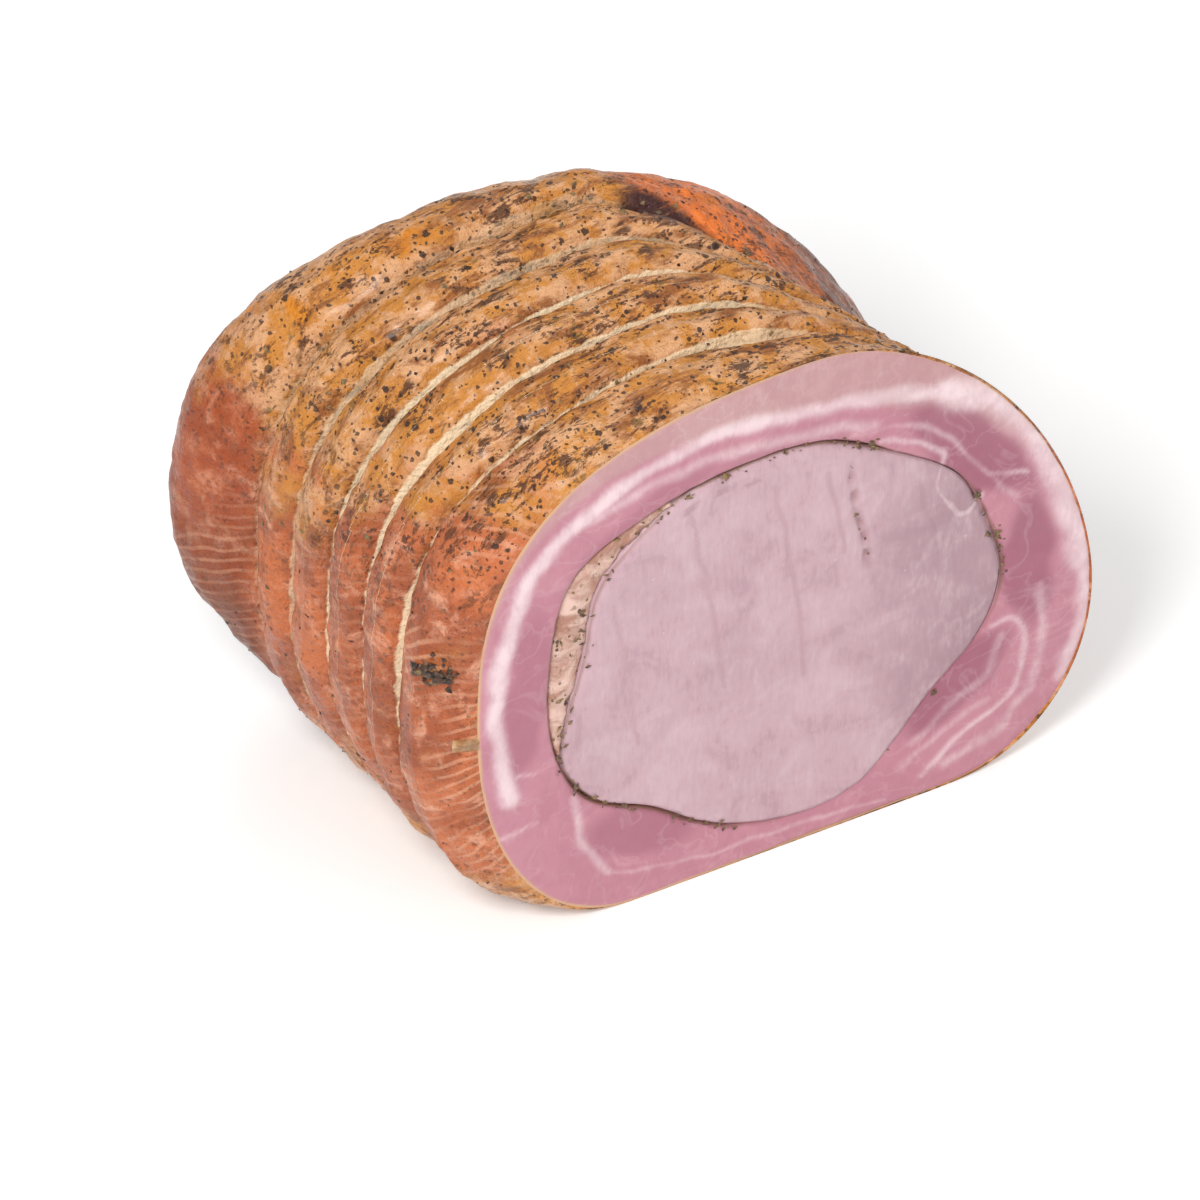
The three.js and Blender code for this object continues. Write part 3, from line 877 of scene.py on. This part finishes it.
def makeBelly():
    fine, count = meshFineness, len(around)
    rows, ties, strips, behinds = outsideRows()
    grid = lumpyCrust(rows)
    rim = grid[0]
    edge = placeRow(0.0, row(bellyTree, 0.02, reachOut), 0.0)
    shares = np.linspace(1, 0, fine["faceRings"] + 1)[:-1]
    face = np.concatenate([edge * share + rim * (1 - share) for share in shares])
    wall = np.linalg.norm(rim - edge, axis=1)
    seamGap = np.concatenate([wall * (1 - share) for share in shares])
    rimGap = np.concatenate([wall * share for share in shares])
    onFace = faceShares(face, rimGap, seamGap)
    sink = 1.9 * onFace["seamDark"] * np.exp(-seamGap / 0.8) + rimSink * np.exp(-rimGap / 0.9)
    relief = 0.22 * lumps(face, 5, 11) + 0.3 * lumps(face, 17, 12)
    relief = relief - 0.25 * onFace["fatShare"] + 0.2 * onFace["muscleShare"]
    face = face + np.stack([0 * sink, np.maximum(sink + relief + 0.4, 0.0), 0 * sink], 1)
    grid[0, :, 1] += rimSink
    crust = grid.reshape(-1, 3)
    inside = np.concatenate([placeRow(b, row(bellyTree, b, reachOut)) for b in insideBacks])

    faces = joinRows(range(len(shares) + len(grid) + len(insideBacks)))
    slots = np.zeros(len(faces), np.int32)
    slots[: len(face)] = 1
    slots[len(face) + len(crust) :] = 1
    onCrust, rub = crustShares(crust, ties, strips, behinds)
    values = {}
    for part, numbersOf in enumerate((onFace, onCrust)):
        for label, numbers in numbersOf.items():
            fills = beyond.get(label, (0, 0, 0))
            whole = [np.full(len(points), fill) for points, fill in zip((face, crust, inside), fills)]
            whole[part] = numbers
            values[label] = np.concatenate(whole)
    points = np.concatenate([face, crust, inside])
    piece = makePiece("rolled_belly", points, faces, [crustMaterial, cutMaterial], slots, values)
    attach(piece, "root")
    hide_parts("belly_wrap")
    return grid, outwardNormals(grid), rub


crustGrid, crustNormals, crustRub = makeBelly()
print("belly made")


# The loin
def loinFace(edgeReach):
    # The cut face's points, and what shows at each of them.
    marks = loinMarks
    shares = np.linspace(0, 1, marks["faceRings"] + 1)[1:]
    hub, rim = np.array(middleAt(0)), placeRow(0.0, edgeReach, 0.0)
    face = np.concatenate([hub * (1 - s) + rim * s for s in shares])
    seamGap = np.concatenate([edgeReach * (1 - s) for s in shares])
    places = facePlaces(face)
    bent = places + np.stack([lumps(face, 11, 21), 0 * seamGap], 1) * 1.3
    lines, ovals = np.zeros(len(face)), np.zeros(len(face))
    for stops in marks["lines"]:
        lines = np.maximum(lines, 0.34 * (1 - smoothStep(0.3, 1.3, nearLine(bent, stops))))
    broken = np.clip(0.6 + 1.2 * lumps(face, 3.5, 27), 0.1, 1)
    creases = (1 - smoothStep(0.4, 2.0, nearLine(bent, marks["crease"]))) * broken
    lines = np.maximum(lines, creases * 0.75)
    for oval in marks["ovals"]:
        ovals = np.maximum(ovals, 0.6 * (1 - smoothStep(0.7, 1.15, inOval(places, *oval))))
    shade = smoothStep(10, 55, places[:, 0]) * 0.8 + 0.3 * lumps(face, 26, 23)
    seamDark = 0.8 * seamStrength(np.degrees(np.tile(around, len(shares))))
    shown = {
        "fatShare": fatAt(face), "lineShare": lines, "ovalShare": ovals, "seamDark": seamDark,
        "shadeShare": np.clip(shade, 0, 1), "seamDistance": seamGap,
    }
    relief = 0.25 * lumps(face, 6, 24) + 0.45 * lumps(face, 21, 25)
    sink = 2.2 * seamDark * np.exp(-seamGap / 0.8) + creases * 0.9 + lines * 0.25
    drop = np.maximum(sink + relief + 0.5, 0.0)
    return face + np.stack([0 * drop, drop, 0 * drop], 1), shown


def loinDome():
    # The rounded back end, which shows in the mouth of the flared end.
    start = middleAt(loinMarks["domeBack"])
    rows = []
    for rise in np.radians(np.linspace(16, 86, 16)):
        ways = [outward(a, roastLine["endSkew"], rise) for a in around]
        reach = smoothRound(filled([reachIn(loinTree, start, way) for way in ways]), 12)
        points = np.array(start) + np.array([way[:] for way in ways]) * reach[:, None]
        rows.append(points - np.array([0, 0.6, 0]) * (1 + lumps(points, 7, 31))[:, None])
    return rows


def makeLoinPiece():
    edgeReach = row(loinTree, 0.02, reachIn, 0.0)
    face, shown = loinFace(edgeReach)
    sideRows = [placeRow(b, row(loinTree, b)) for b in loinMarks["sideBacks"]]
    domeRows = loinDome()
    count, frontRows = len(around), loinMarks["faceRings"] + len(sideRows)
    points = np.concatenate([face, *sideRows, *domeRows])
    tip, last = len(points), len(points) - count
    frontTip = np.array(middleAt(0)) + np.array([0, 0.5, 0])
    points = np.vstack([points, frontTip, domeRows[-1].mean(0)])
    faces = joinRows(range(frontRows + len(domeRows)), False)
    following = [(i + 1) % count for i in range(count)]
    faces += [(tip, j, i) for i, j in enumerate(following)]
    faces += [(last + i, last + j, tip + 1) for i, j in enumerate(following)]
    slots = [0] * (frontRows - 1) * count + [1] * len(domeRows) * count + [0] * count + [1] * count
    rest = len(points) - len(face)
    values = {}
    for label, numbers in shown.items():
        values[label] = np.concatenate([numbers, np.full(rest, beyond.get(label, (0, 0, 0))[2])])
    piece = makePiece("loin_core", points, faces, [loinMaterial, endMaterial], slots, values)
    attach(piece, "root")
    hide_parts("loin")
    return edgeReach


loinReach = makeLoinPiece()
print("loin made")


# The seasoned fat in the pocket on the loin's left
fillingShape = {  # millimetres, and degrees round the loin
    "turns": (100, 205), "leastGap": 1.6, "clear": 0.3, "across": 10, "depth": 60.0,
    "narrowed": 0.8,  # the back's size against the front's
    "hollow": 1.3,  # how far it has sunk behind the cut face
}


def makeFilling():
    holeReach = row(bellyTree, 0.02, reachOut)
    gap = holeReach - loinReach
    shape = fillingShape
    low, high = np.radians(shape["turns"])
    picked = np.flatnonzero((around > low) & (around < high) & (gap > shape["leastGap"]))
    angles = around[picked]
    outer, inner = holeReach[picked] - shape["clear"], loinReach[picked] + shape["clear"]
    across, steps = shape["across"], len(picked)
    hub = np.array(middleAt(0))
    front = []
    for share in np.linspace(0, 1, across):
        reach = outer * (1 - share) + inner * share
        front.append(hub + np.stack([np.cos(angles) * reach, 0 * reach, np.sin(angles) * reach], 1))
    grid = np.array(front)
    flat = grid.reshape(-1, 3)
    hollow = shape["hollow"] + 0.9 * lumps(flat, 4.5, 41) + 0.5 * lumps(flat, 1.8, 42)
    share = np.repeat(np.linspace(0, 1, across), steps)
    hollow = hollow + 0.9 * (np.abs(share - 0.5) * 2) ** 4
    frontPoints = flat + np.stack([0 * hollow, np.maximum(hollow, 0.2), 0 * hollow], 1)
    depth, narrowed = shape["depth"], shape["narrowed"]
    centre = flat.mean(0)
    lean = np.array([-roastLine["lean"] * depth, depth, 0])
    backPoints = centre + (flat - centre) * np.array([narrowed, 1, narrowed]) + lean
    points = np.concatenate([frontPoints, backPoints])
    piece = makePiece("seasoned_fat", points, sheetFaces(across, steps), [fatMaterial])
    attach(piece, "root")
    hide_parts("herb_filling")
    return frontPoints


fillingPoints = makeFilling()
print("filling made")


# Loose grains and leaves
def chipShape(size, flatness, long):
    # A small broken lump: an octahedron with uneven corners.
    ways = [(1, 0, 0), (0, 1, 0), (-1, 0, 0), (0, -1, 0), (0, 0, 1), (0, 0, -1)]
    corners = []
    for x, y, z in ways:
        stretch = random.uniform(0.65, 1.15) * size
        corners.append(Vector((x * stretch * long, y * stretch, z * stretch * flatness)))
        corners[-1] += Vector([random.uniform(-0.25, 0.25) * size * k for k in (1, 1, flatness)])
    faces = [(0, 1, 4), (1, 2, 4), (2, 3, 4), (3, 0, 4), (1, 0, 5), (2, 1, 5), (3, 2, 5), (0, 3, 5)]
    return corners, faces


def scatterChips(name, spots, material):
    points, faces = [], []
    for place, way, size, flatness, long in spots:
        corners, sides = chipShape(size, flatness, long)
        turn = Vector(way).to_track_quat("Z", "Y")
        spin = random.uniform(0, 2 * math.pi)
        c, s = math.cos(spin), math.sin(spin)
        base = len(points)
        for corner in corners:
            turned = Vector((corner.x * c - corner.y * s, corner.x * s + corner.y * c, corner.z))
            points.append(np.array(Vector(place) + turn @ turned))
        faces += [tuple(base + k for k in side) for side in sides]
    points = np.array(points)
    points[:, 2] = np.maximum(points[:, 2], 0.0)
    piece = makePiece(name, points, faces, [material])
    piece.data.polygons.foreach_set("use_smooth", [False] * len(piece.data.polygons))
    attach(piece, "root")
    return piece


def crustSpots(count, sizes, flatness, long, seed, clusterSize, least):
    random.seed(seed)
    rows, columns = crustGrid.shape[:2]
    rubGrid = crustRub.reshape(rows, columns)
    found = []
    while len(found) < count:
        r, c = random.randrange(4, rows - 2), random.randrange(columns)
        place, way = crustGrid[r, c], crustNormals[r, c]
        cluster = noise.noise(Vector(place) / clusterSize + Vector((seed, 0, 0))) + 0.35
        if place[2] < 2 or cluster < random.uniform(0, 0.8) or rubGrid[r, c] * 1.1 < random.uniform(least, 1):
            continue
        size = random.triangular(sizes[0], sizes[1], sizes[0] * 1.2)
        stretch = long * random.uniform(0.8, 1.4)
        found.append((place + way * size * flatness * 0.25, way, size, flatness, stretch))
    return found


seamSeasoning = {  # stretches in degrees round the loin, each with its count
    "stretches": [(62, 112, 36), (112, 200, 24), (200, 262, 32), (352, 386, 36), (300, 330, 4)],
    "pocket": 46, "crease": 26,
}


def facingForward(place, sizes, flatness, longest):
    way = (random.uniform(-0.5, 0.5), -1, random.uniform(-0.5, 0.5))
    return place, way, random.uniform(*sizes), flatness, random.uniform(1.0, longest)


def seamSpots(seed):
    # Seasoning along the crack round the loin, in the pocket and in the crease.
    random.seed(seed)
    front, hub = roastLine["faceY"], middleAt(0)
    found = []
    for low, high, count in seamSeasoning["stretches"]:
        for _ in range(count):
            degrees = random.uniform(low, high) % 360
            reach = float(np.interp(degrees, np.degrees(around), loinReach, period=360))
            reach += random.gauss(0.4, 0.9)
            a = math.radians(degrees)
            back = random.uniform(0.1, 1.0)
            place = (hub.x + math.cos(a) * reach, front + back, hub.z + math.sin(a) * reach)
            found.append(facingForward(place, (0.25, 0.95), 0.4, 2.0))
    for _ in range(seamSeasoning["pocket"]):
        place = fillingPoints[random.randrange(len(fillingPoints))] + np.array([0, -0.1, 0])
        found.append(facingForward(place, (0.35, 0.95), 0.5, 1.8))
    crease = fineLine(loinMarks["crease"])
    for _ in range(seamSeasoning["crease"]):
        x, z = crease[random.randrange(len(crease))]
        place = (faceMiddle + x + random.gauss(0, 0.7), front + 1.1, z)
        found.append((place, (0, -1, 0), random.uniform(0.25, 0.6), 0.5, random.uniform(1.0, 1.6)))
    return found


# Burnt herbs stuck to the crust in one clump, by row back from the rim and degrees round.
clumpAt = {"back": 4.6, "degrees": 165, "spread": 1.25, "count": 48, "herbs": 3, "brown": 5}


def clumpSpots(seed):
    random.seed(seed)
    at = clumpAt
    found = []
    for _ in range(at["count"]):
        rowAt = int((at["back"] + random.gauss(0, at["spread"])) / meshFineness["alongStep"])
        columnAt = int((at["degrees"] + random.gauss(0, at["spread"])) / 360 * len(around))
        place, way = crustGrid[rowAt, columnAt], crustNormals[rowAt, columnAt]
        place = place + way * random.uniform(0.1, 0.7)
        tipped = way + np.array([random.uniform(-0.4, 0.4) for _ in range(3)])
        found.append((place, tipped, random.uniform(0.5, 1.6), 0.55, random.uniform(1, 1.8)))
    return found


crustSeasoning = {
    "pepper": {"count": 760, "sizes": (0.2, 0.85), "flatness": 0.6, "long": 1.0, "seed": 11,
               "clusterSize": 14, "least": 0.12},
    "herbs": {"count": 190, "sizes": (0.35, 1.05), "flatness": 0.3, "long": 1.5, "seed": 12,
              "clusterSize": 18, "least": 0.1},
}
scatterChips("pepper_grains", crustSpots(**crustSeasoning["pepper"]), pepperMaterial)
scatterChips("herb_leaves", crustSpots(**crustSeasoning["herbs"]), herbMaterial)
seasoning = seamSpots(13)
clump = clumpSpots(14)
herbsEnd = clumpAt["herbs"]
brownEnd = herbsEnd + clumpAt["brown"]
scatterChips("clump_pepper", clump[brownEnd:], pepperMaterial)
scatterChips("clump_herbs", clump[:herbsEnd], herbMaterial)
scatterChips("clump_spice", clump[herbsEnd:brownEnd], brownMaterial)
scatterChips("seam_herbs", seasoning[::2], herbMaterial)
scatterChips("seam_pepper", seasoning[1::2], brownMaterial)
print("seasoning made")


# Scraps of thin fat film on the crust: where each starts, and how far it reaches.
filmScraps = {
    "fat_film_front": {"back": (0.6, 2.3), "degrees": (177.5, 180), "lift": 1.5},
    "fat_film_tie": {"back": (13, 17), "degrees": (214, 217), "lift": 0.9},
    "fat_film_flap": {"back": (17, 27), "degrees": (226, 231), "lift": 1.0},
}


def makeFilmScrap(name, back, degrees, lift):
    step = meshFineness["alongStep"]
    rows = np.linspace(back[0] / step, back[1] / step, 18)
    columns = np.linspace(degrees[0], degrees[1], 14) / 360 * len(around)
    upper = []
    for i, r in enumerate(rows):
        for j, c in enumerate(columns):
            u, v = i / (len(rows) - 1), j / (len(columns) - 1)
            place, way = crustGrid[int(r), int(c)], crustNormals[int(r), int(c)]
            edge = math.sin(math.pi * u) ** 0.6 * math.sin(math.pi * v) ** 0.4
            raised = 0.15 + lift * (0.5 + 0.5 * noise.noise(Vector(place) / 3)) * edge
            upper.append(place + way * raised)
    upper = np.array(upper)
    centre = upper.mean(0)
    ragged = 1 + 0.25 * lumps(upper, 2.5, 51)
    upper = centre + (upper - centre) * ragged[:, None]
    way = crustNormals[int(rows[8]), int(columns[7])]
    lower = upper - way * 0.3
    faces = [side[::-1] for side in sheetFaces(len(rows), len(columns))]
    points = np.concatenate([upper, lower])
    points[:, 2] = np.maximum(points[:, 2], 0.0)
    piece = makePiece(name, points, faces, [filmMaterial])
    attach(piece, "root")


for scrapName, scrap in filmScraps.items():
    makeFilmScrap(scrapName, **scrap)
print("film made")


# Floor, light and camera
studio = {
    "key": {"place": (-0.60, -0.58, 1.05), "size": 0.34, "power": 10.6},
    "fill": {"place": (0.3, -1.2, 0.8), "size": 0.6, "power": 2.3},
    "back": {"place": (0.35, 0.75, 1.1), "size": 0.8, "power": 3.4},
    "sky": 0.48, "floorReach": 3.0, "floorGlow": 0.22,
}


def makeFloor():
    mesh = bpy.data.meshes.new("paleFloor")
    reach = studio["floorReach"]
    mesh.from_pydata([(-reach, -reach, 0), (reach, -reach, 0), (reach, reach, 0), (-reach, reach, 0)], [],
                     [(0, 1, 2, 3)])
    material, tree, shader, place = startMaterial("paleFloorPaint")
    tone = speckle(tree, place, 3.0, 2.0)
    colour = blendColour(tree, tone, (0.86, 0.86, 0.86, 1), (0.88, 0.88, 0.88, 1))
    tree.links.new(colour, shader.inputs["Base Color"])
    shader.inputs["Roughness"].default_value = 0.9
    shader.inputs["Emission Color"].default_value = (1, 1, 1, 1)
    shader.inputs["Emission Strength"].default_value = studio["floorGlow"]
    mesh.materials.append(material)
    floor = bpy.data.objects.new("paleFloor", mesh)
    bpy.context.scene.collection.objects.link(floor)


def makeLights():
    aim = Vector((0, 0, 0.07))
    for name in ("key", "fill", "back"):
        light = bpy.data.lights.new(name + "Light", "AREA")
        light.energy = studio[name]["power"]
        light.size = studio[name]["size"]
        holder = bpy.data.objects.new(name + "Light", light)
        holder.location = studio[name]["place"]
        holder.rotation_euler = (aim - holder.location).to_track_quat("-Z", "Y").to_euler()
        bpy.context.scene.collection.objects.link(holder)
    world = bpy.data.worlds.new("softSky")
    world.use_nodes = True
    sky = world.node_tree.nodes["Background"]
    sky.inputs["Color"].default_value = (1.0, 1.0, 1.0, 1)
    sky.inputs["Strength"].default_value = studio["sky"]
    bpy.context.scene.world = world


cameraSetting = {
    "turn": -28.4, "rise": 43.0, "away": 6.0, "lens": 683.0,
    "aimLeft": 41.5, "aimBack": 27.7, "aimHeight": 85.0,  # millimetres from the cut face's middle
}


def makeCamera():
    setting = cameraSetting
    turn, rise = math.radians(setting["turn"]), math.radians(setting["rise"])
    aim = Vector((faceMiddle - setting["aimLeft"], roastLine["faceY"] + setting["aimBack"],
                  setting["aimHeight"])) * mm
    way = Vector((math.sin(turn) * math.cos(rise), -math.cos(turn) * math.cos(rise), math.sin(rise)))
    camera = bpy.data.cameras.new("studioCamera")
    camera.lens = setting["lens"]
    camera.sensor_width = 36.0
    camera.clip_end = 20.0
    holder = bpy.data.objects.new("studioCamera", camera)
    holder.location = aim + way * setting["away"]
    holder.rotation_euler = (-way).to_track_quat("-Z", "Y").to_euler()
    bpy.context.scene.collection.objects.link(holder)
    bpy.context.scene.camera = holder


makeFloor()
makeLights()
makeCamera()
print("scene made")
